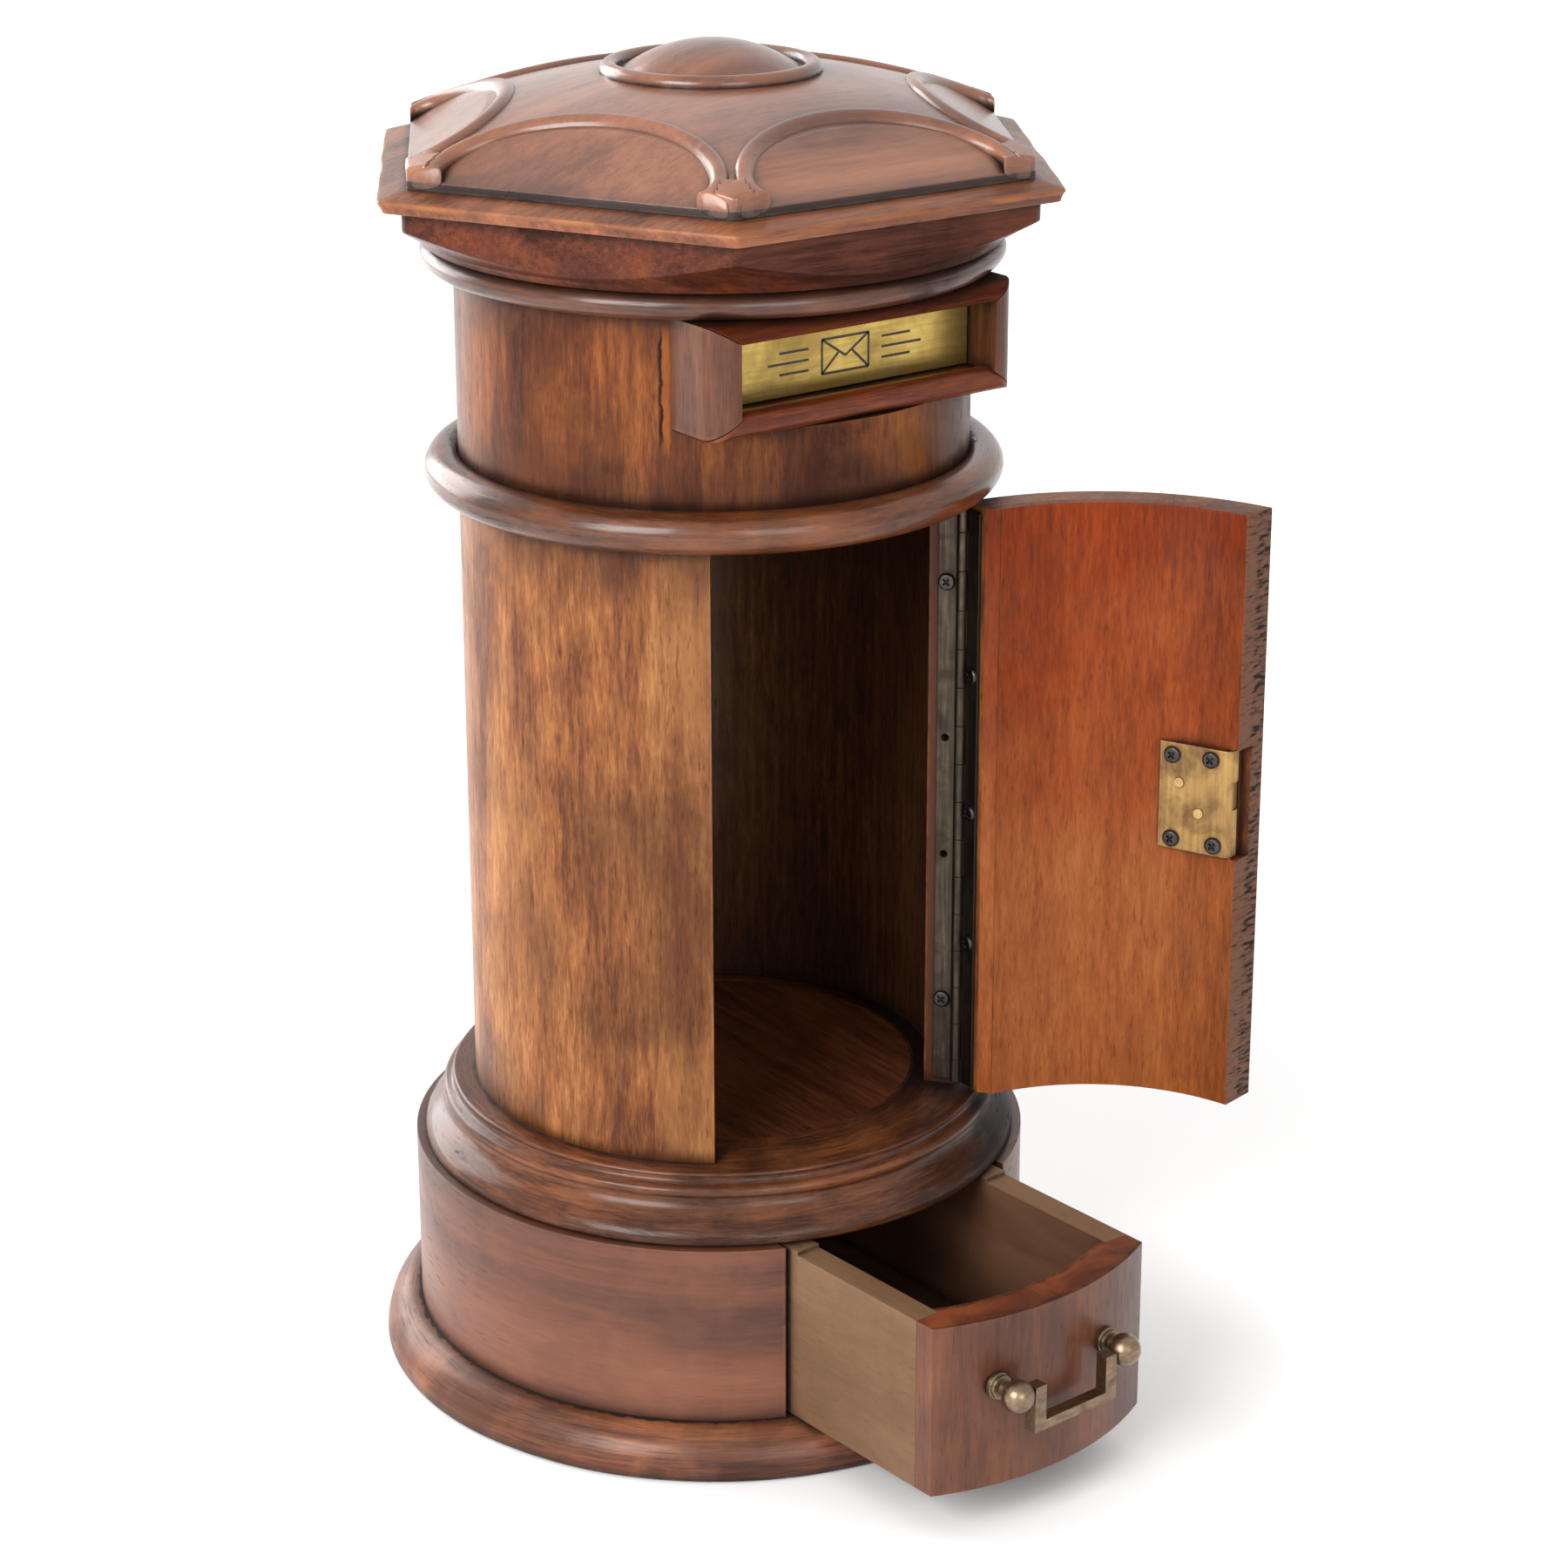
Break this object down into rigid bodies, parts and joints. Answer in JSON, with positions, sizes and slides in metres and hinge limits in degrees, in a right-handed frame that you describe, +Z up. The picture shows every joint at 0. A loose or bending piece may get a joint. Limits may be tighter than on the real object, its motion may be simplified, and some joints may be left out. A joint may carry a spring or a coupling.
{
  "type": "desk letter box",
  "caption": "Turned wooden pillar-shaped letter box for a desk: carved hexagonal cap, letter flap in a frame, curved hinged door with a cupboard lock, and a base drawer with a bail pull.",
  "frame": {"origin": "centre of the flat foot, on the surface the box stands on", "axes": "+Z up the pillar, -Y towards the front (letter slot and doorway), +X to the right seen from the front"},
  "size_m": [0.2859, 0.3499, 0.5221],
  "materials": {
    "mahogany": "dark red-brown stained mahogany, rubbed semi-gloss, blackened in the corners",
    "door_wood": "orange-brown stained mahogany, semi-gloss",
    "drawer_wood": "plain brown wood, matt",
    "flap_brass": "rubbed yellow brass with dark patina at the edges",
    "hinge_bronze": "blackened brass, worn",
    "screw_steel": "black steel screws",
    "lock_brass": "streaky yellow brass",
    "pull_brass": "antique brass"
  },
  "bodies": {
    "pillar": {"plinth": "mahogany", "bottom_board": "mahogany", "drawer_housing": "mahogany", "drawer_guide_left": "drawer_wood", "drawer_guide_right": "drawer_wood", "base_moulding": "mahogany", "floor_disc": "mahogany", "lower_shell": "mahogany", "mid_ring": "mahogany", "upper_drum": "mahogany", "neck_ring": "mahogany", "cornice": "mahogany", "cap_board": "mahogany", "cap_crown": "mahogany", "cap_boss": "mahogany", "slot_frame_top": "mahogany", "slot_frame_bottom": "mahogany", "slot_frame_left": "mahogany", "slot_frame_right": "mahogany", "flap_pin": "flap_brass", "hinge_leaf_fixed": "hinge_bronze", "hinge_pin": "hinge_bronze", "hinge_screws_fixed": "screw_steel"},
    "flap": {"letter_flap": "flap_brass"},
    "door": {"door_panel": "door_wood", "hinge_leaf_door": "hinge_bronze", "hinge_screws_door": "screw_steel", "lock_case": "lock_brass", "lock_screws": "screw_steel", "lock_rivets": "lock_brass"},
    "bolt": {"lock_bolt": "lock_brass"},
    "drawer": {"drawer_front": "mahogany", "drawer_side_left": "drawer_wood", "drawer_side_right": "drawer_wood", "drawer_back": "drawer_wood", "drawer_bottom": "drawer_wood", "handle_posts": "pull_brass"},
    "bail": {"drawer_bail": "pull_brass"}
  },
  "joints": [
    {"name": "door_hinge", "type": "hinge", "parent": "pillar", "child": "door", "pos_m": [0.05805, -0.07846, 0.2347], "axis": [0, 0, 1], "range_deg": [-138.7, 31.3]},
    {"name": "lock_bolt_slide", "type": "slide", "parent": "door", "child": "bolt", "axis": [0.3939, -0.9191, 0], "range_m": [0, 0.007]},
    {"name": "drawer_slide", "type": "slide", "parent": "pillar", "child": "drawer", "axis": [-0.0593, 0.9982, 0], "range_m": [-0.045, 0.0776]},
    {"name": "bail_hinge", "type": "hinge", "parent": "drawer", "child": "bail", "pos_m": [0.01006, -0.2064, 0.0608], "axis": [-0.9982, -0.0593, 0], "range_deg": [-17, 195]},
    {"name": "flap_hinge", "type": "hinge", "parent": "pillar", "child": "flap", "pos_m": [0, -0.0789, 0.4304], "axis": [1, 0, 0], "range_deg": [-80, 85]}
  ]
}
